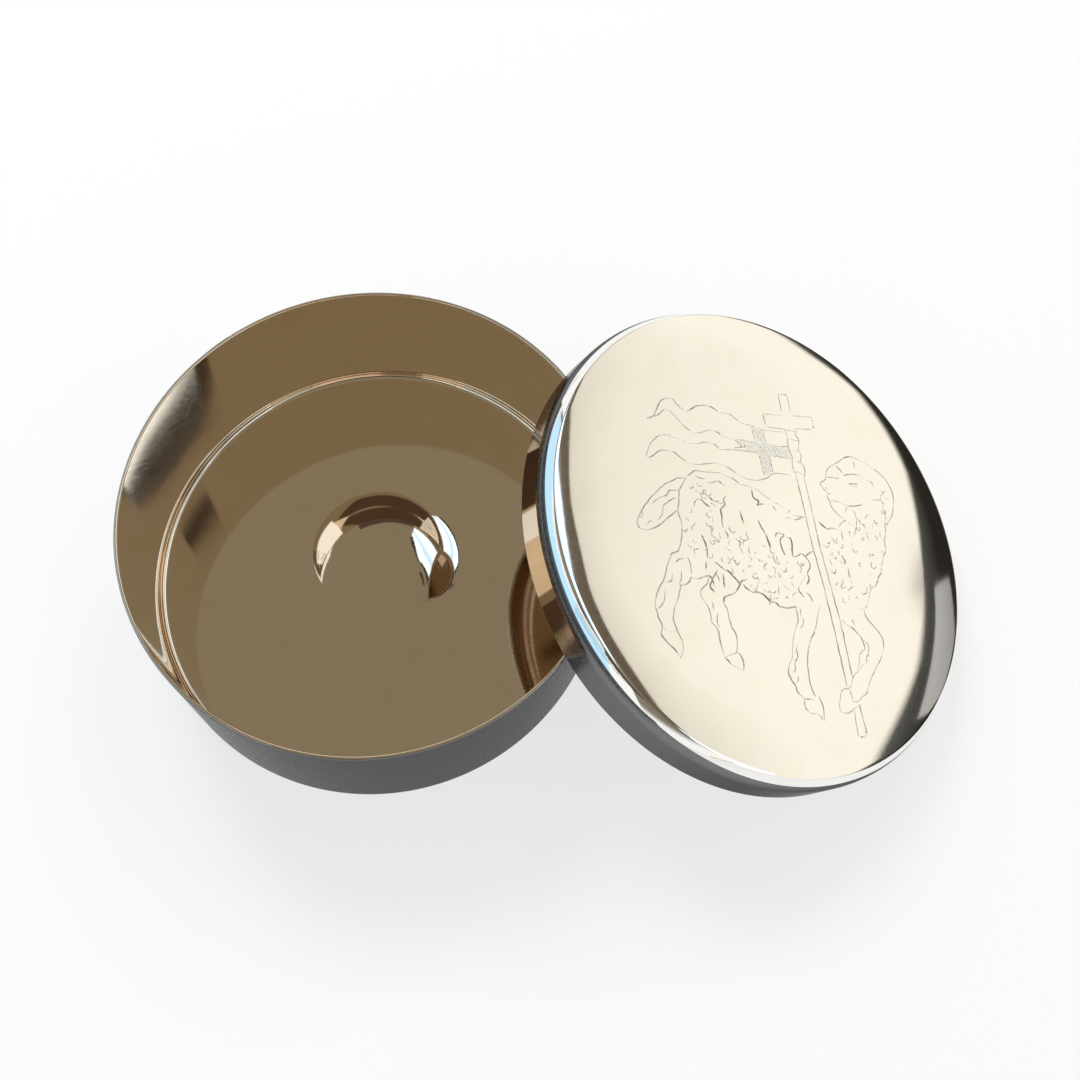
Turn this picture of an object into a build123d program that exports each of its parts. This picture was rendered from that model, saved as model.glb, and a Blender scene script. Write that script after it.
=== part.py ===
"""Pyx: a round drawn-metal cup with a raised boss in its floor, and its slip-over lid.

The lid is off. It leans on the cup: its low edge stands on the table to the right, and its
raised edge reaches in over the mouth and rests on the rim at two points.
Millimetres, +Z up. The origin is on the cup's axis, in the plane that both pieces stand on.
"""
from math import asin, cos, degrees, radians, sin, sqrt
import os

from build123d import *

# The sheet that both pieces are drawn from
sheet_thickness = 0.5

# The cup
cup_radius = 32.5               # outside
cup_height = 24.3               # table to rim
cup_corner_radius = 1.4         # outside, between floor and wall
foot_ring_width = 3.1           # the flat ring that the cup stands on, inside its rounded corner
floor_slope = 2.0               # degrees, the steepest that the floor rises from the ring
floor_toe_radius = 60.0         # upper face, where the floor starts to rise
floor_level_radius = 190.0      # upper face, where the floor levels out again

# The boss in the middle of the floor
boss_radius = 13.8              # out to where its foot meets the floor
boss_foot_radius = 14.2         # upper face, the wide hollow curve round the boss
boss_crown_slope = 12.0         # degrees, where the flat crown turns into the shoulder
boss_side_slope = 20.0          # degrees, the steepest part of the side
boss_crown_share = 0.676        # share of the radius inside that steepest part that is crown

# The lid
lid_height = 7.4                # open edge to crown
lid_clearance = 0.3             # between the cup's wall and the lid's skirt, on the radius
lid_corner_radius = 2.0         # outside, between top and skirt
lid_shoulder_width = 6.2        # the gently curved zone inside the rounded edge
lid_shoulder_slope = 8.0        # degrees, where that zone meets the rounded edge

# How the lid leans on the cup
lean_angle = 143.9              # degrees round the lid, from its lowest point to the rim's contact
rim_gap = 0.15                  # upright clearance between the lid's edge and the rim

# Sizes that follow from those
lid_bore_radius = cup_radius + lid_clearance
lid_radius = lid_bore_radius + sheet_thickness


def direction(slope):
    """Unit vector across the sheet where its face falls away from the axis at this slope."""
    return Vector(sin(radians(slope)), cos(radians(slope)))


def bend(centre, radius, hump, slopes, depth):
    """One arc of the sheet's section, at a depth below the upper face.

    A hump has its centre under the sheet and a hollow has it above.
    """
    side = 1 if hump else -1
    reach = side * radius - depth
    first, last = slopes
    middle = (first + last) / 2
    return ThreePointArc(*[centre + direction(slope) * reach for slope in (first, middle, last)])


def chain(start, bends):
    """The bends of one face, joined by straight lines, from a start on the axis or in a line."""
    edges = []
    here = start
    for arc in bends:
        if (arc @ 0 - here).length > 0:
            edges.append(Line(here, arc @ 0))
        edges.append(arc)
        here = arc @ 1
    return edges, here


def sheet_section(bends_at, apex_z, open_z):
    """The face between the sheet's two sides, from the axis to its square-cut open edge.

    The wall that leads to that edge is upright.
    """
    upper, upper_end = chain(Vector(0, apex_z), bends_at(0))
    lower, lower_end = chain(Vector(0, apex_z - sheet_thickness), bends_at(sheet_thickness))
    wall_tops = [Vector(end.X, open_z) for end in (upper_end, lower_end)]
    edges = upper + lower
    edges.append(Line(upper_end, wall_tops[0]))
    edges.append(Line(*wall_tops))
    edges.append(Line(wall_tops[1], lower_end))
    edges.append(Line(Vector(0, apex_z), Vector(0, apex_z - sheet_thickness)))
    return make_face(Curve() + edges)


def turned(section):
    """The section, drawn as radius and height, turned about the axis."""
    return revolve(Plane.XZ * section, Axis.Z)


def cup():
    """Wall, rounded corner, flat foot ring, slightly raised floor and boss, in one sheet."""
    corner_in = cup_corner_radius - sheet_thickness
    corner_centre = Vector(cup_radius - cup_corner_radius, cup_corner_radius)
    toe_x = corner_centre.X - foot_ring_width
    toe_centre = Vector(toe_x, sheet_thickness + floor_toe_radius)
    toe_end = toe_centre - direction(floor_slope) * floor_toe_radius
    level_centre = toe_end - direction(floor_slope) * floor_level_radius
    floor_z = level_centre.Y + floor_level_radius

    # the foot of the boss leaves the level part of the floor
    foot_centre = Vector(boss_radius, floor_z + boss_foot_radius)
    side = foot_centre - direction(boss_side_slope) * boss_foot_radius

    # the crown and the shoulder share what is left of the boss's radius
    crown_reach = boss_crown_share * side.X
    crown_radius = crown_reach / sin(radians(boss_crown_slope))
    slope_span = direction(boss_side_slope).X - direction(boss_crown_slope).X
    shoulder_radius = (side.X - crown_reach) / slope_span
    shoulder_centre = side - direction(boss_side_slope) * shoulder_radius
    crown_edge = shoulder_centre + direction(boss_crown_slope) * shoulder_radius
    crown_centre = crown_edge - direction(boss_crown_slope) * crown_radius
    apex_z = crown_centre.Y + crown_radius

    def bends_at(depth):
        return [
            bend(crown_centre, crown_radius, True, (0, boss_crown_slope), depth),
            bend(shoulder_centre, shoulder_radius, True, (boss_crown_slope, boss_side_slope), depth),
            bend(foot_centre, boss_foot_radius, False, (boss_side_slope, 0), depth),
            bend(level_centre, floor_level_radius, True, (0, floor_slope), depth),
            bend(toe_centre, floor_toe_radius, False, (floor_slope, 0), depth),
            bend(corner_centre, corner_in, False, (0, -90), depth),
        ]

    print("floor", round(floor_z, 3), "level from", round(level_centre.X, 2), "apex", round(apex_z, 3))
    print("crown", round(crown_radius, 2), "shoulder", round(shoulder_radius, 2))
    return turned(sheet_section(bends_at, apex_z, cup_height))


def closed_lid():
    """The drawn lid, upright, with its open edge down at height zero."""
    corner_x = lid_radius - lid_corner_radius
    shoulder_radius = lid_shoulder_width / sin(radians(lid_shoulder_slope))
    shoulder_end_x = corner_x + direction(lid_shoulder_slope).X * lid_corner_radius
    shoulder_centre = Vector(shoulder_end_x - lid_shoulder_width, lid_height - shoulder_radius)
    shoulder_end = shoulder_centre + direction(lid_shoulder_slope) * shoulder_radius
    corner_centre = shoulder_end - direction(lid_shoulder_slope) * lid_corner_radius

    def bends_at(depth):
        return [
            bend(shoulder_centre, shoulder_radius, True, (0, lid_shoulder_slope), depth),
            bend(corner_centre, lid_corner_radius, True, (lid_shoulder_slope, 90), depth),
        ]

    return turned(sheet_section(bends_at, lid_height, 0))


def leaning_place():
    """Where the lid's open edge lies, and its tilt, from the three points that carry the lid.

    The outer corner of its edge stands on the table. The inner corner lies across the rim.
    """
    along = lid_bore_radius * cos(radians(lean_angle))
    across = lid_bore_radius * sin(radians(lean_angle))
    tilt = asin((cup_height + rim_gap) / (lid_radius - along))
    centre_x = sqrt(cup_radius ** 2 - across ** 2) - along * cos(tilt)
    centre_z = lid_radius * sin(tilt)
    print("tilt", round(degrees(tilt), 3), "lid centre", round(centre_x, 3), round(centre_z, 3))
    return Pos(centre_x, 0, centre_z) * Rot(0, degrees(tilt), 0)


os.makedirs("parts", exist_ok=True)
export_step(cup(), "parts/cup.step")
export_step(leaning_place() * closed_lid(), "parts/lid.step")
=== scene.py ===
"""Looks of the pyx: a cup, gilt inside and silver outside, and its engraved silver lid.

Metres, +Z up, in the CAD model's frame. The lid has a frame of its own: u runs down its slope,
v across it and w out of its top.
"""

from math import asin, cos, hypot, pi, radians, sin, sqrt

import bpy
import numpy as np
from mathutils import Matrix, Vector, kdtree
from mathutils.geometry import delaunay_2d_cdt

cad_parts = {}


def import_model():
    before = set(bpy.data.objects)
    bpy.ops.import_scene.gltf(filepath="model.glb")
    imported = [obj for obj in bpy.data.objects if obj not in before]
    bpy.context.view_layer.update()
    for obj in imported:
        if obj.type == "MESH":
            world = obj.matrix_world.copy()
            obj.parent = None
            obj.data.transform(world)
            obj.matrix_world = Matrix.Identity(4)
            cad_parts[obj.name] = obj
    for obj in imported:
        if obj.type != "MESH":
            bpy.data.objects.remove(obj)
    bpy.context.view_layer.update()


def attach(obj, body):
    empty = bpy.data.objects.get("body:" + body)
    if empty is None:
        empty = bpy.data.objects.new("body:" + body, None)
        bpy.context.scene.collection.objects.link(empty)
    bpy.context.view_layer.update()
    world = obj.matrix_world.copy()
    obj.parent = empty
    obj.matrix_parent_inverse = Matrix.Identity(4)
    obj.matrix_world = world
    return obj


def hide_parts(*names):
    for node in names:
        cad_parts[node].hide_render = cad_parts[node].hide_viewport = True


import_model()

MM = 0.001

# The sheet and the cup, as the CAD model has them, but for a floor that rises more gently
sheet = 0.5 * MM
cup_radius = 32.5 * MM
cup_height = 24.3 * MM
cup_corner_radius = 1.4 * MM
foot_ring_width = 3.1 * MM
floor_slope = 1.2               # degrees, like all the slopes here
floor_toe_radius = 400.0 * MM
floor_level_radius = 270.0 * MM
boss_radius = 13.8 * MM
boss_foot_radius = 14.2 * MM
boss_crown_slope = 12.0
boss_side_slope = 20.0
boss_crown_share = 0.676

# The lid. Its shoulder falls away to a narrow lip, and a tight ridge leads to a bevel and a turn.
lid_height = 7.4 * MM
lid_radius = 33.3 * MM
bore_radius = lid_radius - sheet
shoulder_radius = 45.0 * MM
lip_radius = 5.0 * MM
ridge_radius = 0.26 * MM
bevel_radius = 6.0 * MM
turn_radius = 3.4 * MM
shoulder_slope = 8.0
lip_slope = 12.0
bevel_slopes = (49.0, 60.0)
lean_angle = 143.9
rim_gap = 0.15 * MM

# How finely the pieces are divided
around = 512
bend_steps = 24
edge_steps = 12
edge_turnover = 2 * (edge_steps + 1) // 3   # rows of an open edge before its plating changes
apex_radius = 1e-9              # metres: a row narrower than this is one point


def direction(slope):
    """Radius and height of the unit vector across a face that falls away at this slope."""
    return np.array([sin(radians(slope)), cos(radians(slope))])


def bend(centre, radius, hump, slopes, depth):
    """Rows of one rounded stretch: radius, height, and the outward normal's radius and height."""
    reach = (radius if hump else -radius) - depth
    side = -1 if depth else 1
    rows = []
    for step in range(bend_steps + 1):
        across = direction(slopes[0] + (slopes[1] - slopes[0]) * step / bend_steps)
        rows.append((*(centre + across * reach), *(across * side)))
    return rows


def open_edge(wall_radius, tip, upward):
    """Rows round the rounded open edge of a wall, from its inner side to its outer side."""
    half = sheet / 2
    rows = []
    for step in range(edge_steps + 1):
        turn = pi * step / edge_steps
        across = np.array([-cos(turn), sin(turn) * upward])
        rows.append((*(np.array([wall_radius - half, tip - half * upward]) + across * half), *across))
    return rows


def cup_side(depth):
    """One side of the cup's sheet, from the axis out to the wall."""
    corner = np.array([cup_radius - cup_corner_radius, cup_corner_radius])
    toe = np.array([corner[0] - foot_ring_width, sheet + floor_toe_radius])
    level = toe - direction(floor_slope) * (floor_toe_radius + floor_level_radius)
    foot = np.array([boss_radius, level[1] + floor_level_radius + boss_foot_radius])
    flank = foot - direction(boss_side_slope) * boss_foot_radius
    crown_reach = boss_crown_share * flank[0]
    crown_radius = crown_reach / sin(radians(boss_crown_slope))
    span = direction(boss_side_slope)[0] - direction(boss_crown_slope)[0]
    shoulder_radius = (flank[0] - crown_reach) / span
    shoulder = flank - direction(boss_side_slope) * shoulder_radius
    crown = shoulder + direction(boss_crown_slope) * (shoulder_radius - crown_radius)
    rows = bend(crown, crown_radius, True, (0, boss_crown_slope), depth)
    rows += bend(shoulder, shoulder_radius, True, (boss_crown_slope, boss_side_slope), depth)[1:]
    rows += bend(foot, boss_foot_radius, False, (boss_side_slope, 0), depth)[1:]
    rows += bend(level, floor_level_radius, True, (0, floor_slope), depth)
    rows += bend(toe, floor_toe_radius, False, (floor_slope, 0), depth)[1:]
    rows += bend(corner, cup_corner_radius - sheet, False, (0, -90), depth)
    return rows


def lid_side(depth):
    """One side of the lid's sheet, in the lid's own frame, from the shoulder out to the skirt."""
    slopes = (0, shoulder_slope, lip_slope, *bevel_slopes, 90)
    radii = (shoulder_radius, lip_radius, ridge_radius, bevel_radius, turn_radius)
    reach = sum(r * (direction(b)[0] - direction(a)[0])
                for r, a, b in zip(radii, slopes[:-1], slopes[1:]))
    here = np.array([lid_radius - reach, lid_height])
    rows = []
    for radius, start, end in zip(radii, slopes[:-1], slopes[1:]):
        centre = here - direction(start) * radius
        rows += bend(centre, radius, True, (start, end), depth)[1 if rows else 0:]
        here = centre + direction(end) * radius
    return rows


flat_radius = lid_side(0)[0][0]     # the lid's top is flat inside this


def lid_top(radius):
    """Height and slope of the lid's top at a radius inside its lip."""
    across = max(radius - flat_radius, 0)
    drop = shoulder_radius - sqrt(shoulder_radius ** 2 - across ** 2)
    return lid_height - drop, across / shoulder_radius


def lathe(rows):
    """Points, normals and faces of rows turned about the axis."""
    points, normals, faces = [], [], []
    turns = np.arange(around) * 2 * pi / around
    rings = []
    for radius, height, out, up in rows:
        first = len(points)
        if radius < apex_radius:
            points.append((0, 0, height))
            normals.append((0, 0, up))
            rings.append([first] * around)
        else:
            points += [(radius * cos(a), radius * sin(a), height) for a in turns]
            normals += [(out * cos(a), out * sin(a), up) for a in turns]
            rings.append(list(range(first, first + around)))
    for inner, outer in zip(rings[:-1], rings[1:]):
        for k in range(around):
            m = (k + 1) % around
            face = (inner[k], outer[k], outer[m], inner[m])
            faces.append(tuple(dict.fromkeys(face)))
    return points, normals, faces


def new_piece(name, points, normals, faces, materials, matrix=Matrix.Identity(4)):
    """A mesh object with its exact normals."""
    mesh = bpy.data.meshes.new(name)
    mesh.from_pydata(points, [], faces, shade_flat=False)
    for material in materials:
        mesh.materials.append(material)
    mesh.normals_split_custom_set_from_vertices(normals)
    piece = bpy.data.objects.new(name, mesh)
    bpy.context.scene.collection.objects.link(piece)
    piece.matrix_world = matrix
    return piece


# The engraved lamb, as strokes on the lid in its own frame: u, v in drawing units
drawing_unit = 1.3 * MM
lamb = {
    "cross": [
        ((2.65, 13.9), (2.4, 16.0)), ((2.4, 16.0), (3.3, 16.1), (3.65, 16.3)),
        ((3.6, 16.2), (3.85, 14.1)), ((2.7, 13.4), (0.15, 13.05)),
        ((0.15, 13.05), (0.3, 11.85), (0.5, 11.6)), ((0.5, 11.6), (1.5, 11.65), (2.9, 11.85)),
        ((4.0, 13.75), (6.7, 14.15)), ((6.7, 14.15), (6.85, 12.85)), ((6.6, 12.65), (4.3, 12.2)),
    ],
    "binding": [
        ((2.85, 11.75), (3.1, 11.1), (3.1, 10.3), (3.25, 9.3), (3.5, 8.6), (3.45, 7.5), (3.8, 6.6)),
        ((4.35, 12.2), (4.3, 11.4), (4.65, 10.8), (4.4, 9.7), (4.7, 9.2), (4.6, 8.3), (4.9, 8.0),
         (5.05, 7.2), (4.85, 6.5)),
        ((2.9, 11.8), (4.2, 11.85)), ((3.4, 10.75), (4.5, 10.8)), ((3.7, 9.5), (4.5, 9.5)),
        ((3.9, 8.25), (4.8, 8.2)), ((3.5, 7.05), (5.0, 6.9)),
    ],
    "shaft": [
        ((3.8, 6.6), (4.4, 3.0), (5.05, -1.0), (5.9, -5.0), (6.7, -9.5), (7.35, -13.7), (7.55, -15.4)),
        ((4.85, 6.5), (5.5, 2.5), (6.0, -0.9), (6.95, -5.5), (7.75, -9.5), (8.35, -14.2)),
        ((7.9, -15.6), (8.2, -16.7)), ((8.15, -17.6), (8.25, -19.0), (8.4, -20.0)),
        ((8.85, -16.9), (9.15, -18.3), (9.5, -19.7)), ((8.5, -20.05), (9.46, -19.8)),
    ],
    "banner": [
        ((-14.4, 9.0), (-13.8, 9.3), (-13.3, 10.2), (-12.8, 11.3), (-12.1, 11.85), (-11.3, 12.0),
         (-10.9, 11.6), (-10.5, 11.3), (-9.8, 11.0), (-9.2, 11.2), (-8.4, 11.8), (-7.0, 12.3),
         (-6.0, 12.0), (-5.4, 11.85), (-4.4, 11.95), (-3.4, 11.5), (-2.4, 11.25), (-1.5, 11.25),
         (0.0, 11.1), (1.3, 11.2), (2.6, 11.4)),
        ((-14.4, 9.0), (-13.0, 9.8), (-12.3, 10.5), (-11.6, 10.55)),
        ((-11.6, 10.55), (-10.9, 9.9), (-10.2, 9.3), (-9.5, 8.9), (-8.6, 8.75), (-7.8, 8.95),
         (-7.0, 9.4), (-6.3, 9.5), (-5.4, 9.2), (-4.2, 9.1), (-3.7, 9.0), (-3.1, 8.7), (-2.7, 8.5)),
        ((-14.7, 4.7), (-14.4, 5.5), (-14.0, 6.4), (-13.0, 7.4), (-11.9, 7.7), (-10.6, 7.6),
         (-9.3, 7.4), (-8.2, 7.6), (-7.4, 7.95), (-6.5, 7.95), (-5.9, 7.65), (-5.2, 7.55),
         (-4.3, 7.8), (-3.3, 7.9), (-2.3, 8.1), (-1.4, 8.15), (-0.8, 8.05)),
        ((-3.9, 8.05), (-3.0, 8.35), (-2.3, 8.7)),
        ((-14.6, 4.5), (-13.9, 4.9), (-13.3, 5.5), (-12.4, 5.9), (-11.4, 5.9), (-10.5, 5.4),
         (-9.4, 5.1), (-8.2, 5.25), (-7.0, 5.6), (-6.0, 5.85), (-5.0, 5.65), (-3.9, 5.2),
         (-2.9, 4.95), (-2.0, 4.85), (-1.0, 5.0), (-0.1, 5.4), (0.8, 6.1), (2.0, 6.4), (3.1, 6.5)),
    ],
    "banner cross": [
        ((-1.5, 11.25), (-1.35, 10.3), (-1.2, 9.3)), ((0.0, 11.0), (0.1, 10.2), (0.35, 9.4)),
        ((-0.85, 8.0), (-0.6, 7.0), (-0.35, 5.6)), ((0.5, 8.2), (0.65, 7.2), (0.8, 6.2)),
        ((0.4, 9.45), (1.8, 9.55), (3.05, 9.75)), ((0.5, 8.2), (1.8, 8.3), (3.3, 8.4)),
        ((-4.0, 9.15), (-2.5, 9.2), (-1.2, 9.3)), ((-3.6, 7.95), (-0.9, 8.1)),
    ],
    "back": [
        ((-10.0, 3.5), (-9.4, 4.0), (-8.8, 4.4), (-7.5, 4.55), (-6.0, 4.8), (-5.4, 4.7), (-4.4, 4.5),
         (-3.5, 4.1), (-2.0, 4.0), (-1.0, 3.6), (0.0, 3.1), (0.6, 2.9), (1.6, 2.6), (2.6, 2.3)),
        ((2.6, 2.3), (2.2, 1.9)), ((2.7, 2.0), (3.4, 1.9), (4.5, 2.0)),
        ((1.8, 1.35), (2.6, 1.5), (3.2, 1.4), (4.2, 1.85)),
        ((8.8, 1.6), (9.1, 2.1), (9.8, 2.6)), ((9.0, 1.3), (9.2, 0.3)),
    ],
    "head": [
        ((7.8, 7.0), (7.4, 6.7), (6.95, 6.3), (7.1, 6.0), (7.4, 5.6), (7.9, 5.35)),
        ((7.6, 5.95), (8.0, 5.9)), ((7.8, 5.3), (8.2, 5.4)),
        ((7.7, 5.2), (7.75, 4.8), (8.0, 4.3), (8.0, 4.0), (8.6, 3.3), (9.2, 2.9), (9.9, 2.6),
         (10.8, 2.3)),
        ((8.2, 4.6), (9.2, 4.65), (10.2, 4.4), (11.0, 4.5), (12.2, 4.85), (12.5, 5.1)),
        ((7.8, 7.2), (8.6, 7.35), (9.6, 7.45)),
        ((10.2, 7.9), (11.0, 8.2), (12.2, 8.45), (13.0, 8.3), (13.5, 8.1), (14.0, 7.95), (14.3, 7.4)),
        ((10.7, 7.05), (11.4, 7.2), (12.1, 7.35)), ((11.9, 7.3), (11.8, 6.85)),
        ((10.9, 7.0), (11.6, 6.95)),
        ((13.9, 5.8), (14.7, 5.95), (15.0, 6.1), (15.3, 6.8), (15.7, 7.1), (15.0, 7.15)),
        ((15.6, 6.5), (16.2, 6.3)), ((10.2, 4.2), (9.9, 3.5)),
        ((11.0, 4.0), (11.3, 3.2), (11.2, 2.3), (10.9, 1.5), (10.8, 1.1)),
    ],
    "halo": [
        ((7.75, 7.0), (7.9, 7.7), (8.2, 8.3), (8.6, 8.7), (9.1, 9.0), (9.8, 9.5), (10.4, 10.0),
         (11.0, 10.3), (11.7, 10.45), (12.5, 10.4), (13.3, 10.2), (14.0, 9.9), (14.7, 9.6),
         (15.4, 9.2), (16.0, 8.8), (16.4, 8.2), (16.7, 7.6), (16.85, 7.0), (16.85, 6.3),
         (16.7, 5.5), (16.4, 4.6), (16.0, 4.0), (15.6, 3.4), (15.5, 3.1)),
        ((9.1, 8.95), (9.6, 8.7), (10.1, 8.2)), ((11.8, 10.0), (12.0, 9.2)),
    ],
    "chest": [
        ((15.1, 6.0), (15.3, 5.5), (15.2, 4.9), (15.4, 4.3), (15.3, 3.5), (15.1, 3.0), (15.2, 2.5),
         (15.0, 1.8), (14.8, 1.2), (14.85, 0.3), (14.5, -0.4), (14.3, -0.9), (14.0, -1.7),
         (13.8, -2.5), (13.4, -3.0), (13.1, -3.6), (12.8, -4.1), (12.2, -4.5), (11.9, -5.1),
         (11.6, -5.9), (11.3, -6.6), (10.9, -6.9)),
    ],
    "raised foreleg": [
        ((10.85, -6.9), (10.9, -7.4), (11.2, -7.9), (11.8, -8.5), (12.4, -9.0), (12.8, -9.6),
         (12.9, -10.5), (12.7, -11.1), (12.2, -12.0), (11.6, -12.8), (11.0, -13.7), (10.5, -14.6),
         (10.0, -15.6), (9.4, -16.1), (8.8, -16.6), (8.2, -16.7)),
        ((10.2, -6.9), (10.8, -6.9)),
        ((7.8, -8.5), (8.3, -8.8), (9.0, -9.1), (9.6, -9.6), (10.1, -10.0), (10.3, -10.5),
         (10.4, -11.1), (9.9, -11.5), (9.6, -12.0), (9.4, -13.0), (9.2, -13.6), (8.7, -14.0),
         (8.4, -14.4), (8.2, -15.0), (7.9, -15.4), (7.2, -15.6), (6.8, -15.9), (6.6, -16.6),
         (6.4, -17.4), (6.5, -17.8), (7.0, -17.95), (7.7, -17.8), (8.2, -17.4), (8.8, -17.0)),
        ((10.3, -10.2), (10.9, -10.7), (10.8, -11.5), (10.5, -12.0), (10.4, -12.6)),
        ((9.9, -12.7), (9.6, -13.4)), ((9.1, -8.2), (9.5, -8.9)),
    ],
    "straight foreleg": [
        ((2.2, -8.1), (2.35, -9.0), (2.3, -9.6), (2.0, -10.3), (1.6, -11.3), (1.4, -12.3),
         (1.2, -13.3), (0.9, -14.0), (0.65, -14.6), (0.65, -15.0), (0.9, -15.6), (1.3, -16.0),
         (1.5, -16.6), (2.0, -17.0)),
        ((2.0, -17.0), (2.3, -17.15), (3.0, -17.1), (3.4, -17.2)),
        ((2.2, -17.2), (2.3, -18.0), (2.8, -18.4), (3.8, -18.5), (4.36, -19.1)),
        ((4.0, -16.7), (4.4, -17.75), (4.35, -19.0)),
        ((5.2, -7.6), (4.9, -8.4), (4.6, -9.3), (4.3, -10.2), (3.8, -11.0), (3.4, -11.9),
         (3.1, -13.0), (3.0, -14.3), (3.1, -15.5), (3.3, -16.3), (3.6, -16.8)),
        ((2.75, -8.1), (2.7, -8.9)), ((3.0, -9.1), (2.9, -9.8), (2.5, -10.2)),
        ((2.1, -11.8), (1.8, -12.5), (1.9, -13.2), (1.5, -13.8), (1.5, -14.5), (1.2, -14.8)),
        ((1.8, -15.1), (1.6, -15.7)),
    ],
    "second hind leg": [
        ((-6.4, -9.1), (-6.0, -9.8), (-5.9, -10.6), (-5.6, -11.4), (-5.3, -11.8), (-5.15, -12.6),
         (-5.3, -13.7), (-6.0, -14.1), (-6.7, -14.35)),
        ((-6.7, -14.35), (-6.2, -14.8), (-5.5, -15.1), (-4.8, -15.4)),
        ((-5.3, -13.7), (-4.8, -14.0), (-4.55, -14.8), (-4.6, -15.5)),
        ((-8.0, -6.6), (-8.2, -7.4), (-8.9, -8.1), (-9.0, -8.6), (-8.7, -9.2), (-8.2, -9.8),
         (-8.0, -10.5), (-7.9, -11.2), (-7.5, -11.6), (-7.2, -12.0), (-7.1, -12.9), (-6.9, -13.7),
         (-6.7, -14.3)),
        ((-7.7, -9.2), (-7.6, -10.0)), ((-7.2, -10.2), (-7.3, -11.0), (-7.1, -11.6)),
    ],
    "rump and hind leg": [
        ((-10.0, 3.4), (-10.4, 2.7), (-10.9, 1.9), (-11.0, 1.0), (-11.1, 0.2), (-11.2, -0.5),
         (-10.9, -1.4), (-10.8, -2.2), (-10.9, -3.2), (-11.1, -4.0), (-11.4, -4.7), (-12.1, -5.1),
         (-12.4, -5.7), (-12.7, -6.4), (-12.9, -7.3), (-13.2, -8.0), (-13.7, -8.8), (-14.0, -9.7),
         (-14.15, -10.6), (-14.0, -11.1), (-13.8, -11.8), (-13.5, -12.2), (-13.5, -12.8),
         (-13.6, -13.3), (-13.0, -13.9), (-12.3, -14.4), (-11.7, -14.9)),
        ((-11.65, -15.2), (-11.4, -14.8), (-11.25, -14.0), (-11.4, -13.4), (-11.8, -12.7),
         (-12.0, -12.2), (-12.25, -11.6), (-12.1, -10.8), (-11.9, -10.1), (-11.5, -9.2),
         (-11.3, -8.4), (-11.2, -8.1), (-10.6, -7.9), (-10.2, -7.5), (-10.0, -7.1), (-9.2, -7.1),
         (-8.5, -6.8), (-8.0, -6.5)),
        ((-13.3, -12.6), (-12.8, -12.8), (-12.0, -12.8)),
        ((-13.0, -8.8), (-13.1, -9.8), (-13.4, -10.4), (-13.9, -10.9)),
        ((-12.1, -7.2), (-12.3, -7.8), (-12.9, -8.1)),
        ((-11.7, -5.9), (-11.3, -5.5), (-10.7, -5.3)), ((-10.3, -5.1), (-10.0, -5.9), (-9.95, -6.8)),
        ((-11.1, -6.6), (-11.1, -7.4), (-11.4, -8.0)),
    ],
    "tail": [
        ((-9.9, 3.4), (-11.0, 3.1), (-11.8, 2.6), (-12.6, 2.1), (-13.5, 1.2), (-14.3, 0.3),
         (-15.0, -0.7), (-15.6, -1.7), (-15.85, -2.6), (-15.7, -3.0), (-15.2, -3.1), (-14.4, -3.0),
         (-13.4, -2.4), (-12.6, -1.6), (-11.8, -0.9), (-11.2, -0.3)),
        ((-11.2, 1.8), (-12.1, 1.5), (-12.5, 0.9), (-13.3, 0.5), (-14.1, -0.2)),
        ((-11.3, 0.9), (-11.9, 0.6), (-12.5, 0.1), (-12.9, -0.3), (-13.0, -1.1), (-13.6, -1.9)),
        ((-14.9, -2.7), (-14.5, -2.2), (-13.9, -2.0)), ((-15.4, -2.0), (-15.2, -1.4)),
    ],
}
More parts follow.
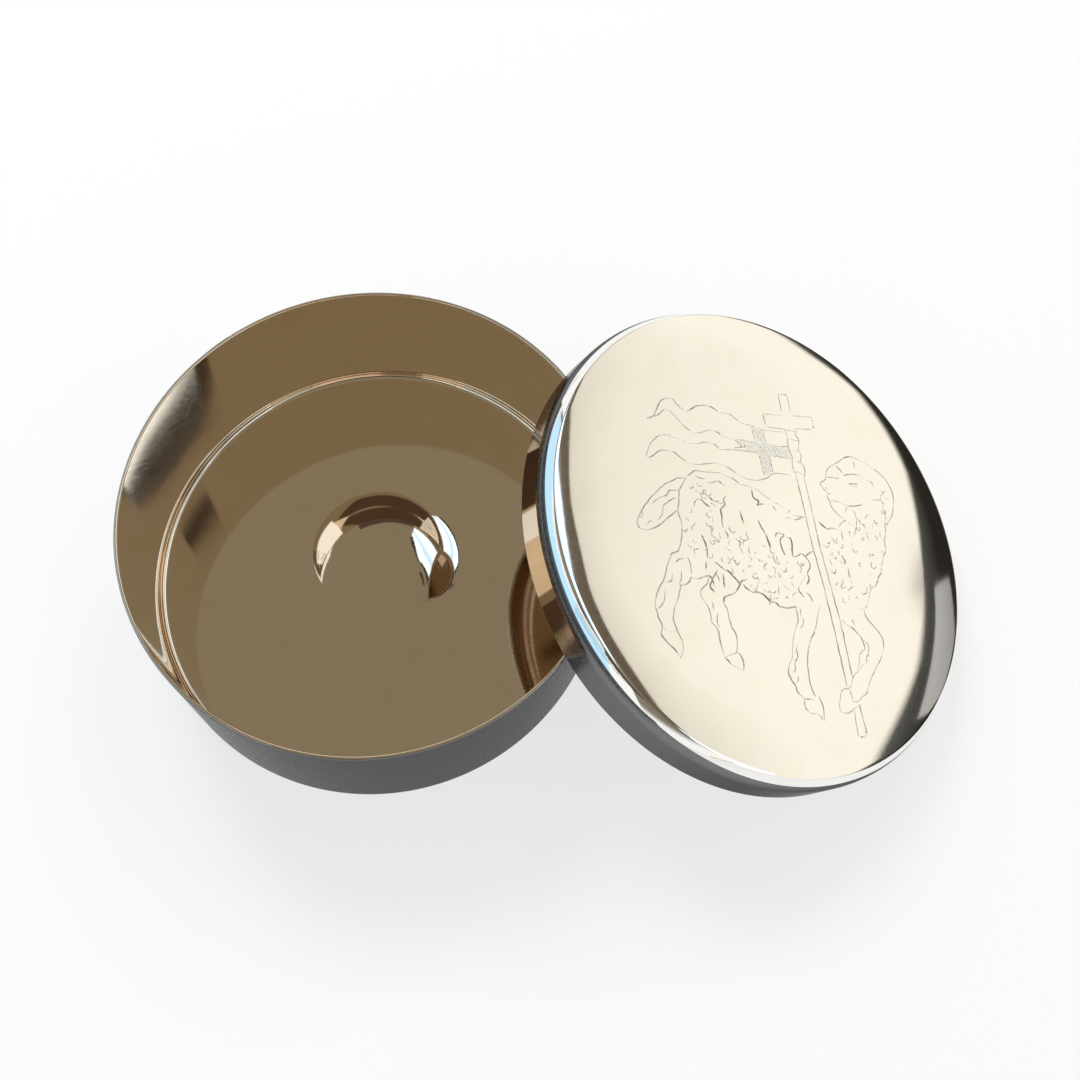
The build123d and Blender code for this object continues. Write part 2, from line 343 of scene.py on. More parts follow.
heavy = {
    "belly": [
        ((-7.5, -5.0), (-7.0, -5.1), (-6.4, -5.5), (-5.7, -5.7), (-5.0, -6.2), (-4.5, -6.7),
         (-4.4, -6.9), (-5.0, -7.8), (-5.9, -8.3), (-6.3, -8.5), (-6.4, -9.1)),
        ((-4.0, -6.8), (-3.5, -7.2), (-2.8, -7.4), (-2.2, -7.3), (-1.5, -7.5), (-0.9, -8.0),
         (-0.2, -8.0), (0.2, -8.3), (1.0, -8.35), (1.7, -8.2), (2.4, -8.0)),
    ],
    "flank": [
        ((-8.6, -2.5), (-8.2, -3.2), (-8.0, -4.0), (-8.0, -4.8)), ((-8.2, -5.1), (-8.25, -6.0)),
        ((-8.5, -6.7), (-7.9, -6.6), (-7.5, -7.1), (-7.4, -7.6)),
        ((-6.9, -5.8), (-7.4, -6.6), (-7.9, -7.6), (-7.4, -8.2)), ((-6.3, -6.1), (-6.2, -7.5)),
        ((-7.0, -6.3), (-6.7, -6.9)),
    ],
    "neck fold": [((6.2, 1.8), (6.7, 1.4), (7.3, 1.15), (7.9, 1.4), (8.6, 1.4))],
    "locks": [
        ((-8.9, 3.8), (-8.3, 3.7), (-7.8, 3.7)),
        ((-7.4, 3.4), (-6.9, 3.5), (-6.3, 3.8), (-5.7, 3.6), (-5.3, 3.6)), ((-4.1, 4.0), (-4.1, 3.8)),
        ((-2.1, 3.7), (-1.95, 2.9), (-1.4, 2.6), (-1.3, 2.3), (-0.5, 2.4)), ((0.4, 2.4), (0.8, 2.0)),
        ((-9.1, 2.2), (-8.8, 2.1)), ((-9.3, 0.4), (-9.1, 1.0), (-8.8, 1.3), (-8.4, 1.3), (-8.0, 1.0),
                                     (-7.4, 0.7)),
        ((-7.5, 1.9), (-7.0, 1.5), (-6.2, 1.6)),
        ((-5.4, 2.3), (-5.7, 1.8), (-5.5, 1.4), (-6.1, 0.7), (-6.0, 0.0), (-6.0, -1.2)),
        ((-3.7, 1.1), (-3.6, 0.4), (-3.4, -0.3)),
        ((-1.6, 0.4), (-1.2, -0.3), (-0.7, -1.1), (-0.4, -2.0), (-0.3, -2.5)),
        ((0.4, -1.0), (0.7, -0.5), (1.5, -0.6), (1.0, -1.2), (1.1, -2.0), (1.4, -2.8)),
        ((1.9, -0.8), (2.3, -0.8), (2.45, -1.5), (2.4, -2.7), (3.0, -2.6), (3.5, -2.2), (4.0, -2.5),
         (4.4, -3.0), (4.5, -3.5), (4.1, -4.2), (4.2, -4.9), (3.8, -5.5)),
        ((5.1, -1.7), (4.4, -2.1), (4.0, -2.5)), ((3.6, -6.3), (4.1, -6.6), (4.4, -7.2)),
    ],
}
# Where the fleece is curled: outline, curls to a square millimetre
fleece = [
    (((-10.6, -0.6), (-8.8, -1.2), (-6.2, -0.8), (-3.6, -0.8), (-0.8, -2.4), (2.2, -3.0), (3.8, -3.2),
      (3.8, -6.8), (2.0, -7.8), (0.0, -7.6), (-3.5, -6.8), (-5.5, -5.2), (-7.4, -4.6), (-10.4, -4.8)),
     1.15),
    (((-10.4, 2.4), (-9.0, 3.2), (-6.4, 2.6), (-6.6, -0.6), (-10.5, -0.4)), 0.7),
    (((11.8, 4.0), (14.9, 5.2), (14.6, 1.0), (13.6, -2.4), (11.8, -4.6), (9.4, -6.2), (7.9, -6.4),
      (6.9, -2.8), (6.4, 0.4), (9.4, 0.6)), 0.62),
]
# The banner's cross is hatched: outline of each bar
hatched = [
    ((-1.5, 11.2), (0.0, 11.0), (0.35, 9.4), (0.5, 8.2), (0.8, 6.2), (-0.35, 5.6), (-0.85, 8.0),
     (-1.2, 9.3)),
    ((-4.0, 9.1), (-1.2, 9.3), (0.4, 9.45), (3.05, 9.7), (3.3, 8.4), (0.5, 8.2), (-0.9, 8.1),
     (-3.4, 8.3)),
]

# How the figure is cut, in drawing units: half width and depth of each kind of line
outline_cut = (0.075, 0.03)
heavy_cut = (0.1, 0.055)
hatch_cut = (0.055, 0.016)
full_cut = 0.075                # a cut this deep has the whole tint
hatch_spacing = 0.24
hatch_heading = -52             # degrees
shortest_hatch = 0.3

# The fleece's curls, most of them as ranges to draw from
curl_tries = 2.2                # for each curl that an outline asks for
curl_spacing = 0.62
curl_headings = (-150, -40)     # degrees
curl_bends = (0.5, 1.3)         # radians from step to step
curl_changes = (0.4, 1.2)       # shares of that bend
curl_steps = (2, 6)
curl_step_lengths = (0.14, 0.3)
curl_half_widths = (0.065, 0.095)
curl_depth = 0.035

# How a line is led by hand
wander_pace, wander = 18, 0.018         # how it strays, every so many places
press_pace, press_spread = 40, 0.22     # how the pressure changes, every so many places
press_limits = (0.55, 1.5)
taper_length, taper_least = 0.3, 0.45

# How finely the figure is divided, in drawing units
figure_reach = 22.4             # from the lid's middle: the engraving stays inside this
ring_from, ring_step = 19.2, 0.4        # rings of points carry the top's curve here
ring_gap = 0.2                  # between them and the edge of the figure's disc
grid_step = 0.6
curve_steps = 16                # between two given points of a curve
fine = 0.02                     # between the places that a cut is kept as
places_per_row = 10             # every so many of these a row of points crosses the cut
across_cut = (-1.25, -1, -0.66, -0.33, 0, 0.33, 0.66, 1, 1.25)     # shares of its half width
round_end = (0.5, 1, 1.3)       # the same shares, for rings of points round its ends
end_turns = 8
merge_distance = 1e-4

rng = np.random.default_rng(12)


def smooth(points):
    """Evenly spaced places on a curve through the points."""
    p = np.array(points, float)
    p = np.vstack([2 * p[0] - p[1], p, 2 * p[-1] - p[-2]])
    places = []
    for a, b, c, d in zip(p[:-3], p[1:-2], p[2:-1], p[3:]):
        for s in np.linspace(0, 1, curve_steps, endpoint=False):
            places.append(0.5 * (2 * b + (c - a) * s + (2 * a - 5 * b + 4 * c - d) * s ** 2
                                 + (3 * b - a - 3 * c + d) * s ** 3))
    places = np.array(places + [p[-2]])
    along = np.concatenate([[0], np.cumsum(np.hypot(*np.diff(places, axis=0).T))])
    even = np.linspace(0, along[-1], max(int(along[-1] / fine), 4))
    return np.column_stack([np.interp(even, along, places[:, k]) for k in (0, 1)])


def uneven(count, pace, spread):
    """Slowly changing random values, new ones every so many places."""
    knots = np.arange(0, count + 2 * pace, pace)
    return np.interp(np.arange(count), knots, rng.normal(0, spread, len(knots)))


def cut(points, half_width, depth):
    """A hand-cut line: its places, their sides, and the half width and depth at each of them."""
    places = smooth(points)
    count = len(places)
    ahead = np.gradient(places, axis=0)
    ahead /= np.hypot(*ahead.T)[:, None]
    side = np.column_stack([-ahead[:, 1], ahead[:, 0]])
    places = places + side * uneven(count, wander_pace, wander)[:, None]
    ends = np.minimum(np.arange(count) + 1, count - np.arange(count)) * fine
    press = np.clip(1 + uneven(count, press_pace, press_spread), *press_limits)
    press *= np.clip(ends / taper_length, taper_least, 1)
    return places, side, half_width * press, depth * press


def inside(outline, place):
    """Whether a place lies in an outline."""
    hits = 0
    for (x0, y0), (x1, y1) in zip(outline, outline[1:] + outline[:1]):
        if (y0 > place[1]) != (y1 > place[1]):
            hits += place[0] < x0 + (place[1] - y0) * (x1 - x0) / (y1 - y0)
    return hits % 2 == 1


def fleece_cuts():
    """Short loose curls, well apart, all over the fleece."""
    cuts, taken = [], []
    for outline, density in fleece:
        low, high = np.min(outline, axis=0), np.max(outline, axis=0)
        for _ in range(int(np.prod(high - low) * density * curl_tries)):
            place = rng.uniform(low, high)
            if not inside(outline, place) or any(hypot(*(place - t)) < curl_spacing for t in taken):
                continue
            taken.append(place)
            heading = radians(rng.uniform(*curl_headings))
            curl = rng.choice((-1, 1)) * rng.uniform(*curl_bends)
            step = rng.uniform(*curl_step_lengths)
            points = [place]
            for _ in range(rng.integers(*curl_steps)):
                points.append(points[-1] + np.array([cos(heading), sin(heading)]) * step)
                heading += curl * rng.uniform(*curl_changes)
                curl *= rng.choice((1, 1, -1))
            cuts.append(cut(points, rng.uniform(*curl_half_widths), curl_depth))
    return cuts


def hatch_cuts():
    """Light parallel lines, down to the right, across the banner's cross."""
    cuts = []
    ahead = np.array([cos(radians(hatch_heading)), sin(radians(hatch_heading))])
    side = np.array([-ahead[1], ahead[0]])
    for outline in hatched:
        across = [float(np.dot(p, side)) for p in outline]
        for offset in np.arange(min(across) + hatch_spacing / 2, max(across), hatch_spacing):
            hits = []
            for a, b in zip(outline, outline[1:] + outline[:1]):
                da, db = np.dot(a, side) - offset, np.dot(b, side) - offset
                if (da > 0) != (db > 0):
                    place = np.array(a) + (np.array(b) - np.array(a)) * da / (da - db)
                    hits.append(float(np.dot(place, ahead)))
            hits.sort()
            for start, end in zip(hits[::2], hits[1::2]):
                if end - start > shortest_hatch:
                    line = [side * offset + ahead * s for s in (start, end)]
                    cuts.append(cut(line, *hatch_cut))
    return cuts


def engraving():
    """All the cuts of the figure."""
    cuts = [cut(line, *outline_cut) for lines in lamb.values() for line in lines]
    cuts += [cut(line, *heavy_cut) for lines in heavy.values() for line in lines]
    return cuts + fleece_cuts() + hatch_cuts()


def engraved_disc(ring_points):
    """The lid's top inside a ring of points: the points, normals, depth of cut and faces."""
    cuts = engraving()
    places = np.vstack([c[0] for c in cuts])
    widths = np.concatenate([c[2] for c in cuts])
    depths = np.concatenate([c[3] for c in cuts])
    tree = kdtree.KDTree(len(places))
    for number, (u, v) in enumerate(places):
        tree.insert((u, v, 0), number)
    tree.balance()

    flat = [(x / drawing_unit, y / drawing_unit) for x, y, z in ring_points]
    for radius in np.arange(ring_from, figure_reach - ring_gap, ring_step):
        for turn in np.arange(around // 2) * 4 * pi / around:
            flat.append((radius * cos(turn), radius * sin(turn)))
    for line, side, half_width, depth in cuts:
        for k in [*range(0, len(line) - places_per_row // 2, places_per_row), len(line) - 1]:
            for share in across_cut:
                flat.append(tuple(line[k] + side[k] * half_width[k] * share))
        for k in (0, -1):
            for turn in np.arange(end_turns) * 2 * pi / end_turns:
                for share in round_end:
                    reach = half_width[k] * share
                    flat.append((line[k][0] + reach * cos(turn), line[k][1] + reach * sin(turn)))
    for u in np.arange(-figure_reach, figure_reach, grid_step):
        for v in np.arange(-figure_reach, figure_reach, grid_step):
            flat.append((u, v))
    flat = [Vector(p) for p in flat if hypot(*p) < figure_reach + 0.001]
    found = delaunay_2d_cdt(flat, [], [], 0, merge_distance)

    points, normals, cut_depths = [], [], []
    for place in found[0]:
        radius = place.length
        height, fall = lid_top(radius * drawing_unit)
        slope = place / max(radius, 1e-6) * fall
        near, number, distance = tree.find((place.x, place.y, 0))
        share = distance / widths[number]
        depth = 0
        if share < 1:
            depth = depths[number] * (1 + cos(pi * share)) / 2
            if distance > merge_distance:
                steep = depths[number] * pi / 2 / widths[number] * sin(pi * share)
                slope = slope - Vector((place.x - near.x, place.y - near.y)) / distance * steep
        points.append((place.x * drawing_unit, place.y * drawing_unit, height - depth * drawing_unit))
        normals.append(Vector((slope.x, slope.y, 1)).normalized())
        cut_depths.append(depth / full_cut)
    return points, normals, cut_depths, found[2], found[3]


class Nodes:
    """A short way to write the nodes of a material or the world."""

    def __init__(self, owner, output="ShaderNodeOutputMaterial"):
        owner.use_nodes = True
        self.owner = owner
        self.tree = owner.node_tree
        self.tree.nodes.clear()
        self.output = self.add(output)

    def add(self, kind, inputs=None, **settings):
        node = self.tree.nodes.new(kind)
        for key, value in settings.items():
            setattr(node, key, value)
        for key, value in (inputs or {}).items():
            if isinstance(value, bpy.types.NodeSocket):
                self.tree.links.new(value, node.inputs[key])
            else:
                node.inputs[key].default_value = value
        return node

    def out(self, kind, socket, inputs=None, **settings):
        return self.add(kind, inputs, **settings).outputs[socket]

    def finish(self, shader):
        self.tree.links.new(shader, self.output.inputs[0])
        return self.owner


def material_nodes(name):
    return Nodes(bpy.data.materials.new(name))


# What disturbs the metal: noise scales to the metre, and heights of the finest marks in metres
ring_stretch = (1.5, 7000.0, 7000.0)
hair_stretch = (200.0, 7000.0, 460.0)
slow_scale, cloud_scale, speck_scale = 85.0, 200.0, 4000.0
hair_height = 5e-7
patina_noise, patina_share = (0.42, 0.78), 0.35
speck_noise, speck_shares = (0.35, 0.8), (0.8, 1.7)     # shares of the roughness


def metal(name, colour, dull, roughness, wave, brushing, blend=None, edge=1.0):
    """Plated metal: slow waves, fine turning marks and hairlines, and a faint patina.

    A blend names an attribute, and the colour and roughness that the metal has where it is 1.
    """
    n = material_nodes(name)
    place = n.out("ShaderNodeTexCoord", "Object")
    split = n.add("ShaderNodeSeparateXYZ", {0: place})
    turn = n.out("ShaderNodeMath", 0, {0: split.outputs[1], 1: split.outputs[0]}, operation="ARCTAN2")
    flat = n.out("ShaderNodeCombineXYZ", 0, {0: split.outputs[0], 1: split.outputs[1]})
    radius = n.out("ShaderNodeVectorMath", "Value", {0: flat}, operation="LENGTH")
    ring_place = n.out("ShaderNodeCombineXYZ", 0, {0: turn, 1: radius, 2: split.outputs[2]})
    stretched = n.out("ShaderNodeVectorMath", 0, {0: ring_place, 1: ring_stretch}, operation="MULTIPLY")
    rings = n.out("ShaderNodeTexNoise", "Fac", {"Vector": stretched, "Scale": 1.0, "Detail": 3.0})
    slow = n.out("ShaderNodeTexNoise", "Fac", {"Vector": place, "Scale": slow_scale, "Detail": 1.0})
    cloud = n.out("ShaderNodeTexNoise", "Fac", {"Vector": place, "Scale": cloud_scale, "Detail": 5.0})
    specks = n.out("ShaderNodeTexNoise", "Fac", {"Vector": place, "Scale": speck_scale, "Detail": 2.0})
    hair_place = n.out("ShaderNodeVectorMath", 0, {0: place, 1: hair_stretch}, operation="MULTIPLY")
    hairs = n.out("ShaderNodeTexNoise", "Fac", {"Vector": hair_place, "Scale": 1.0, "Detail": 1.0,
                                                "Distortion": 0.6})
    patina = n.out("ShaderNodeMapRange", 0, {0: cloud, 1: patina_noise[0], 2: patina_noise[1],
                                             3: 0.0, 4: patina_share})
    tint = n.out("ShaderNodeMix", 2, {0: patina, 6: (*colour, 1), 7: (*dull, 1)}, data_type="RGBA")
    rough = n.out("ShaderNodeMapRange", 0, {0: specks, 1: speck_noise[0], 2: speck_noise[1],
                                            3: roughness * speck_shares[0],
                                            4: roughness * speck_shares[1]})
    if blend:
        attribute, other_colour, other_roughness = blend
        share = n.out("ShaderNodeAttribute", "Fac", attribute_name=attribute)
        tint = n.out("ShaderNodeMix", 2, {0: share, 6: tint, 7: (*other_colour, 1)}, data_type="RGBA")
        rough = n.out("ShaderNodeMix", 0, {0: share, 2: rough, 3: other_roughness})
    bump = n.out("ShaderNodeBump", 0, {"Strength": 1.0, "Distance": wave, "Height": slow})
    for height, marks in ((brushing, rings), (hair_height, hairs)):
        bump = n.out("ShaderNodeBump", 0, {"Strength": 1.0, "Distance": height, "Height": marks,
                                           "Normal": bump})
    return n.finish(n.out("ShaderNodeBsdfPrincipled", 0, {
        "Base Color": tint, "Metallic": 1.0, "Specular Tint": (edge, edge, edge, 1),
        "Roughness": rough, "Normal": bump}))


gilt = metal("gilt", (0.87, 0.75, 0.62), (0.80, 0.66, 0.50), roughness=0.045, wave=1e-5, brushing=4e-8)
# The lid's inside: gilt painted dark brown, painted shade for the dim hollow under the lid that the cup
# mirrors
lid_gilt_painted_shade = metal("lid_gilt_painted_shade", (0.52, 0.41, 0.31), (0.45, 0.345, 0.25), roughness=0.09, wave=1e-5,
                 brushing=4e-8)
# Outer silver, painted dark grey: its colour, and its low edge tint that darkens it further at grazing
# angles, are a painted dark reflection of shaded surroundings. Where the blend attribute is 1 it is bright
# silver.
silver_wall_painted_shade = metal("silver_wall_painted_shade", (0.20, 0.20, 0.205), (0.165, 0.165, 0.17), roughness=0.24,
                    wave=8e-6, brushing=5e-7, blend=("polished_unshaded", (0.90, 0.89, 0.87), 0.05), edge=0.36)
silver_top = metal("silver_top", (0.92, 0.91, 0.89), (0.84, 0.82, 0.77), roughness=0.05, wave=5e-6,
                   brushing=2.6e-8, blend=("cut", (0.42, 0.36, 0.27), 0.3))


def cup_piece():
    """The cup, gilt on its inner side and over most of its rim, silver on its outer side, where the silver
    is painted dark grey as a painted dark reflection.
    """
    upper = cup_side(0)
    lower = cup_side(sheet)
    edge = open_edge(cup_radius, cup_height, 1)
    points, normals, faces = lathe(upper + edge + lower[::-1])
    piece = new_piece("cup_plated", points, normals, faces, [gilt, silver_wall_painted_shade])
    gilt_faces = (len(upper) + edge_turnover) * around
    for number, polygon in enumerate(piece.data.polygons):
        polygon.material_index = 0 if number < gilt_faces else 1
    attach(piece, "cup")
    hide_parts("cup")


def lid_place():
    """Where the lid's open edge lies, and its tilt, from the points that carry it."""
    along = bore_radius * cos(radians(lean_angle))
    across = bore_radius * sin(radians(lean_angle))
    tilt = asin((cup_height + rim_gap) / (lid_radius - along))
    centre_x = sqrt(cup_radius ** 2 - across ** 2) - along * cos(tilt)
    centre = Vector((centre_x, 0, lid_radius * sin(tilt)))
    return Matrix.Translation(centre) @ Matrix.Rotation(tilt, 4, "Y")


# Where the skirt is polished bright silver, free of the painted dark reflection on the rest of the outer
# silver: below this share of the lid's height, and this share of the radius or more towards the lid's high
# side
unshaded_height, unshaded_from, unshaded_fade = 0.57, 0.78, 0.1


def polished_unshaded_share(x, y, z):
    """How far a place of the lid is polished bright silver rather than painted dark, from 0 to 1."""
    if z >= lid_height * unshaded_height:
        return 0
    return min(max((-x / hypot(x, y) - unshaded_from) / unshaded_fade, 0), 1)


seam_gap = 0.05 * MM            # between the seam round the figure and the next row


def lid_piece():
    """The lid: its engraved top, shoulder, lip, bevel, skirt, open edge and inside."""
    upper = lid_side(0)
    seam = figure_reach * drawing_unit
    height, fall = lid_top(seam)
    upper = [(seam, height, fall, sqrt(1 - fall ** 2))] + [
        row for row in upper if row[0] > seam + seam_gap]
    lower = lid_side(sheet)[::-1] + [(0, lid_height - sheet, 0, -1)]
    edge = open_edge(lid_radius, 0, -1)[::-1]
    points, normals, faces = lathe(upper + edge + lower)
    top_points, top_normals, depths, top_faces, sources = engraved_disc(points[:around])
    rename = {}
    for number, source in enumerate(sources):
        ring = [s for s in source if s < around]
        rename[number] = ring[0] if ring else len(points)
        if not ring:
            points.append(top_points[number])
            normals.append(top_normals[number])
    cut_depths = [0.0] * len(points)
    for number, depth in enumerate(depths):
        cut_depths[rename[number]] = depth
    faces += [tuple(rename[k] for k in face) for face in top_faces]
    piece = new_piece("lid_engraved", points, normals, faces, [silver_top, silver_wall_painted_shade, lid_gilt_painted_shade],
                      lid_place())
    skirt_from = len(upper) - 1 - bend_steps
    inside_from = len(upper) - 1 + edge_turnover
    lathe_rows = len(upper + edge + lower) - 1
    for number, polygon in enumerate(piece.data.polygons):
        row = number // around
        if skirt_from <= row < inside_from:
            polygon.material_index = 1
        elif inside_from <= row < lathe_rows:
            polygon.material_index = 2
    piece.data.attributes.new("cut", "FLOAT", "POINT").data.foreach_set("value", cut_depths)
    # Bright silver on the skirt's high side; everywhere else the outer silver keeps its painted dark
    # reflection
    polished_unshaded = [0, *(polished_unshaded_share(*point) for point in points[1:])]
    piece.data.attributes.new("polished_unshaded", "FLOAT", "POINT").data.foreach_set("value", polished_unshaded)
    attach(piece, "lid")
    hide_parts("lid")


cup_piece()
lid_piece()


floor_colour = (0.95, 0.95, 0.945, 1)
pale_share = 0.72               # how far the floor is lightened where it is seen
seeing = ("Is Camera Ray", "Is Glossy Ray", "Is Transmission Ray")


def ray_is(n, kinds):
    """1 for rays of these kinds and 0 for all others."""
    path = n.add("ShaderNodeLightPath").outputs
    found = path[kinds[0]]
    for kind in kinds[1:]:
        found = n.out("ShaderNodeMath", 0, {0: found, 1: path[kind]}, operation="MAXIMUM")
    return found


def floor_material():
    """Pale and matt, lightened towards white where it is seen, so that it keeps a soft shadow."""
    n = material_nodes("floor")
    matt = n.out("ShaderNodeBsdfPrincipled", 0, {"Base Color": floor_colour, "Roughness": 0.9})
    share = n.out("ShaderNodeMath", 0, {0: ray_is(n, seeing), 1: pale_share}, operation="MULTIPLY")
    white_glow = n.out("ShaderNodeEmission", 0, {"Color": (1, 1, 1, 1), "Strength": 1.0})
    return n.finish(n.out("ShaderNodeMixShader", 0, {0: share, 1: matt, 2: white_glow}))


def floor():
    """A plain pale floor, a hair under the foot."""
    half = 4.0
    low = -0.02 * MM
    corners = [(-half, -half, low), (half, -half, low), (half, half, low), (-half, half, low)]
    mesh = bpy.data.meshes.new("floor")
    mesh.from_pydata(corners, [], [(0, 1, 2, 3)])
    mesh.materials.append(floor_material())
    piece = bpy.data.objects.new("floor", mesh)
    bpy.context.scene.collection.objects.link(piece)


# The screens stand on a sphere round the pyx. Their ramps' colours are shares of the glow.
sky_radius = 0.91
sky_centre = Vector((25 * MM, 0, 13 * MM))
glow_scale = 2.2
column_width = 1.5              # degrees
sky_rows = 10


def sky_point(azimuth, elevation, radius):
    """The place in this direction from the pyx, in degrees."""
    a, e = radians(azimuth), radians(elevation)
    return sky_centre + Vector((cos(a) * cos(e), sin(a) * cos(e), sin(e))) * radius


def light_material(name, stops):
    """A glow that changes with the height on its panel, from 0 at the foot to 1 at the head."""
    n = material_nodes(name)
    rise = n.out("ShaderNodeAttribute", "Fac", attribute_name="rise")
    ramp = n.add("ShaderNodeValToRGB", {0: rise})
    elements = ramp.color_ramp.elements
    while len(elements) < len(stops):
        elements.new(0.5)
    for element, (place, colour) in zip(elements, stops):
        element.position = place
        element.color = (*(c / glow_scale for c in colour), 1)
    return n.finish(n.out("ShaderNodeEmission", 0, {"Color": ramp.outputs[0], "Strength": glow_scale}))


def sky_patch(name, low, high, stops, radius=sky_radius):
    """A curved light or dark screen, out of the camera's sight, that the metal mirrors.

    Its foot and head are azimuths and elevations in degrees, seen from the pyx.
    """
    first, last = low[0][0], low[-1][0]
    columns = max(int(abs(last - first) / column_width), 1)
    points, rises = [], []
    for azimuth in np.linspace(first, last, columns + 1):
        foot, head = (np.interp(azimuth, *zip(*edge)) for edge in (low, high))
        for k in range(sky_rows + 1):
            points.append(sky_point(azimuth, foot + (head - foot) * k / sky_rows, radius))
            rises.append(k / sky_rows)
    faces = []
    for i in range(columns):
        for k in range(sky_rows):
            a = i * (sky_rows + 1) + k
            faces.append((a, a + 1, a + sky_rows + 2, a + sky_rows + 1))
    mesh = bpy.data.meshes.new(name)
    mesh.from_pydata(points, [], faces)
    mesh.attributes.new("rise", "FLOAT", "POINT").data.foreach_set("value", rises)
    mesh.materials.append(light_material(name, stops))
    piece = bpy.data.objects.new(name, mesh)
    bpy.context.scene.collection.objects.link(piece)
    piece.visible_camera = False


def lamp(name, azimuth, elevation, distance, size, power):
    """A soft lamp that neither the camera nor the metal sees."""
    data = bpy.data.lights.new(name, "AREA")
    data.shape = "DISK"
    data.size = size
    data.energy = power
    piece = bpy.data.objects.new(name, data)
    bpy.context.scene.collection.objects.link(piece)
    piece.location = sky_point(azimuth, elevation, distance)
    piece.rotation_mode = "QUATERNION"
    piece.rotation_quaternion = (piece.location - sky_centre).to_track_quat("Z", "Y")
    piece.visible_glossy = False
    piece.visible_camera = False


horizon_grey = (0.80, 0.80, 0.79, 1)
ceiling = (0.25, 0.22, 0.155, 1)
horizon_top, ceiling_from = 10, 18      # degrees


def world():
    """A dim, slightly warm ceiling over a pale horizon. The camera sees white all round."""
    space = bpy.data.worlds.new("world")
    bpy.context.scene.world = space
    n = Nodes(space, "ShaderNodeOutputWorld")
    place = n.out("ShaderNodeTexCoord", "Generated")
    height = n.out("ShaderNodeSeparateXYZ", 2, {0: place})
    share = n.out("ShaderNodeMapRange", 0, {0: height, 1: sin(radians(horizon_top)),
                                            2: sin(radians(ceiling_from))})
    share = n.out("ShaderNodeMath", 0, {0: share, 1: ray_is(n, seeing[:1])}, operation="SUBTRACT",
                  use_clamp=True)
    horizon = n.out("ShaderNodeMix", 2, {0: ray_is(n, seeing), 6: horizon_grey, 7: (1, 1, 1, 1)},
                    data_type="RGBA")
    colour = n.out("ShaderNodeMix", 2, {0: share, 6: horizon, 7: ceiling}, data_type="RGBA")
    n.finish(n.out("ShaderNodeBackground", 0, {0: colour}))


# The screens' colours
cream = (1.07, 1.01, 0.87)
cream_high = (0.80, 0.745, 0.61)
frame_brown = (0.15, 0.115, 0.075)
frame_dark = (0.10, 0.075, 0.055)
room_dark = (0.022, 0.018, 0.014)
room_grey = (0.10, 0.098, 0.09)
low_grey = (0.33, 0.32, 0.31)
low_grey_high = (0.5, 0.49, 0.46)
white = (1.04, 1.04, 1.03)
blue = (0.60, 0.92, 1.12)
daylight = (1.25, 1.45, 1.70)
glare = (1.45, 1.80, 2.15)
sky_blue = (0.63, 1.08, 1.55)
dusk = (0.08, 0.055, 0.04)

# Screens that overlap stand at different radii
near, far = 0.9, 0.92


def plain(colour):
    """One colour from foot to head."""
    return [(0, colour), (1, colour)]


def windows_right():
    """The tall window, and the roof window over it with its dark frame."""
    window_foot = [(-80, 2), (-60, 6), (-45, 14), (0, 17), (12, 16.5), (19, 18.3), (22, 14.5), (26, 9.5),
                   (30, 7.5), (35, 6.5), (39, 10), (50, 12), (62, 14)]
    window_head = [(-80, 24), (-60, 28), (-45, 38), (0, 44), (13, 47.5), (19, 48), (25, 46.5), (32, 46),
                   (36, 45), (40, 44), (48, 42), (62, 38)]
    frame_head = [(-20, 50), (4, 52), (17, 53.5), (26, 51), (34, 49), (40, 47), (50, 46), (62, 44)]
    sky_patch("window", window_foot, window_head,
              [(0, room_dark), (0.06, cream), (0.35, cream), (1, cream_high)])
    sky_patch("window_frame", [(-20, 40), *window_head[3:]], frame_head,
              [(0, frame_dark), (0.5, frame_brown), (1, frame_brown)], near)
    skylight_head = [(-9, 61.35), (-1, 61.55), (5, 61.7), (20, 62.1), (37, 62.35), (52, 62.75),
                     (58, 61), (64, 58), (70, 54), (75, 50)]
    sky_patch("skylight", [(-9, 56), (5, 53), (17, 53.5), (26, 51), (34, 49), (62, 45), (75, 43)],
              skylight_head, [(0, daylight), (0.35, daylight), (0.6, sky_blue), (0.8, glare), (1, glare)])
    sky_patch("skylight_frame", [(-17, 60.6), *skylight_head[:6]],
              [(-17, 62), (-9, 62.8), (-4, 63.2), (5, 63.6), (11, 63.8), (20, 64.1), (34, 64.2), (52, 63.9)],
              [(0, room_dark), (0.85, room_dark), (1, frame_dark)], near)
    sky_patch("ceiling_gap", [(11, 66.2), (24, 66.4), (38, 66.7)], [(11, 67.3), (24, 67.9), (38, 68.2)],
              [(0, frame_dark), (0.3, room_dark), (0.7, room_dark), (1, frame_dark)], near)
    sky_patch("skylight_edge", skylight_head[5:], [(52, 63.7), (58, 62.5), (64, 60), (70, 57), (75, 53)],
              [(0, frame_dark), (0.3, room_dark), (1, room_dark)], near)
    sky_patch("window_far", [(-46, 30), (-9, 30)], [(-46, 42), (-30, 44), (-9, 44.5)],
              plain(daylight), near)


def low_screens():
    """What stands low on the right, under the window."""
    sky_patch("low_dark", [(-20, 0.1), (66, 0.1)], [(-20, 17), (19, 20.5), (30, 12), (66, 14)],
              [(0, room_dark), (0.5, room_dark), (1, room_grey)], far)
    sky_patch("low_grey", [(4, 4), (17, 6)], [(4, 13), (17, 14)],
              [(0, low_grey), (1, low_grey_high)], near)


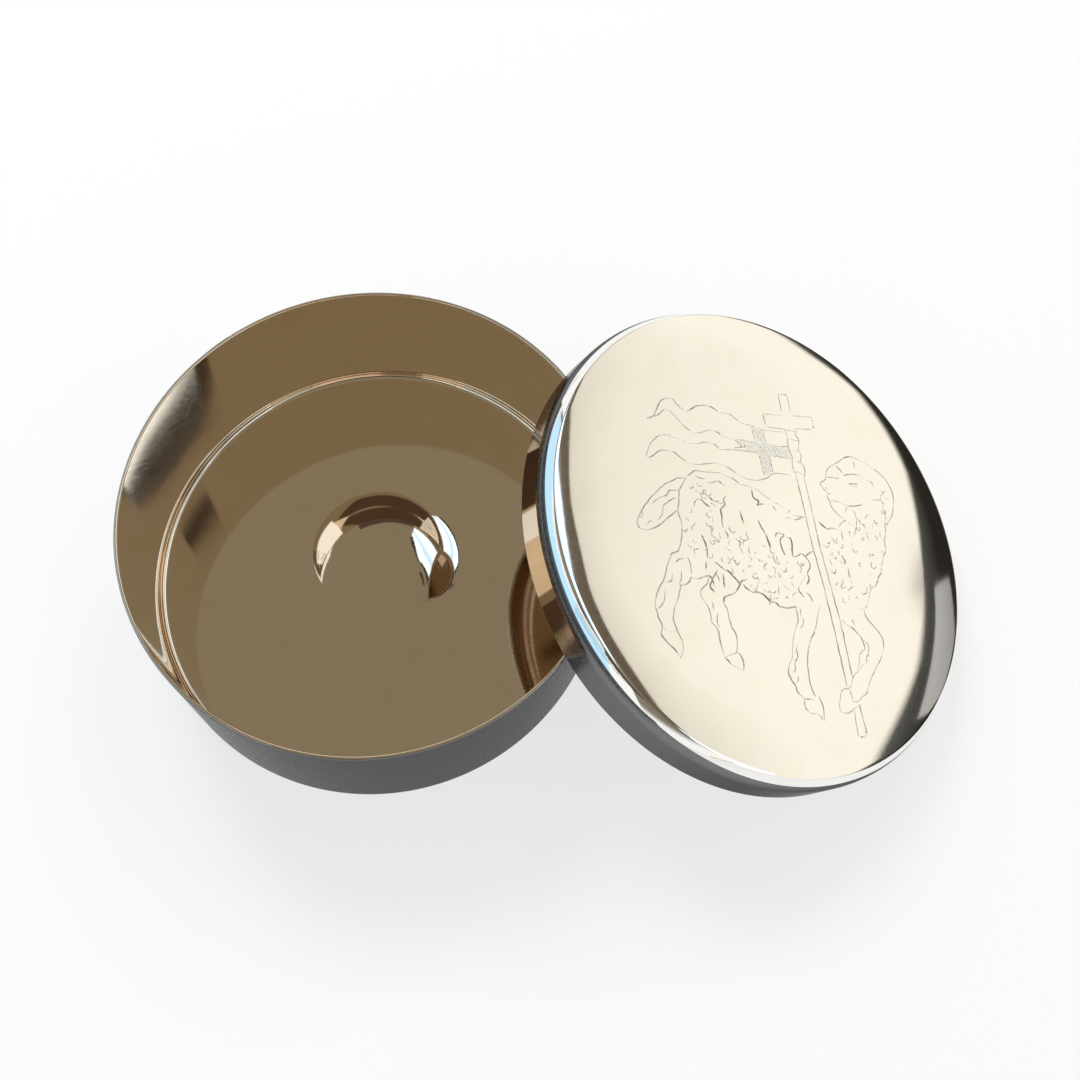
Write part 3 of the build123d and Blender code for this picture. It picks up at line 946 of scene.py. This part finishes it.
def windows_left():
    """The window on the left, what stands beside and under it, and the one at the back."""
    sky_patch("left_window", [(126, 12), (150, 16), (180, 19), (220, 18), (236, 14)],
              [(126, 34), (150, 43), (180, 43), (236, 43)],
              [(0, blue), (0.75, blue), (0.9, white), (1, white)])
    sky_patch("left_pillar", [(236, 12), (252, 10)], [(236, 36), (252, 30)], plain(white))
    sky_patch("left_low", [(112, 0.1), (258, 0.1)], [(112, 4), (150, 16), (180, 19), (220, 18), (258, 8)],
              plain(room_grey), far)
    sky_patch("back_window", [(84, 1), (124, 1)], [(84, 30), (124, 32)], plain(white))


def dark_room():
    """The unlit room, in front of the pyx and behind it."""
    sky_patch("room_behind", [(-150, 28), (-50, 30)], [(-150, 46), (-69, 46), (-50, 36)], plain(dusk))
    sky_patch("room_right", [(76, 32.5), (118, 33)], [(76, 43), (118, 44)], plain(dusk))


floor()
world()
windows_right()
low_screens()
windows_left()
dark_room()
for side, azimuth in (("right", 62), ("left", 118)):
    lamp("key_" + side, azimuth, elevation=48, distance=1.17, size=0.52, power=8.5)


def camera():
    """The photograph's viewpoint. The photograph is a crop, so its centre isn't the lens's."""
    distance = 190.88 * MM
    target = Vector((17.52 * MM, 31.15 * MM, 0))
    rise, roll = radians(61.64), radians(1.82)
    back = Vector((0, -cos(rise), sin(rise)))
    right = Vector((1, 0, 0))
    up = back.cross(right)
    rolled_right = right * cos(roll) + up * sin(roll)
    rolled_up = up * cos(roll) - right * sin(roll)
    data = bpy.data.cameras.new("camera")
    data.sensor_width = 36
    data.lens = 39.70
    data.shift_x = 0.0316
    data.shift_y = -0.1436
    data.clip_start = 10 * MM
    data.clip_end = 20
    piece = bpy.data.objects.new("camera", data)
    bpy.context.scene.collection.objects.link(piece)
    piece.rotation_mode = "QUATERNION"
    piece.rotation_quaternion = Matrix((rolled_right, rolled_up, back)).transposed().to_quaternion()
    piece.location = target + back * distance
    bpy.context.scene.camera = piece


camera()
bpy.context.scene.view_settings.view_transform = "Standard"
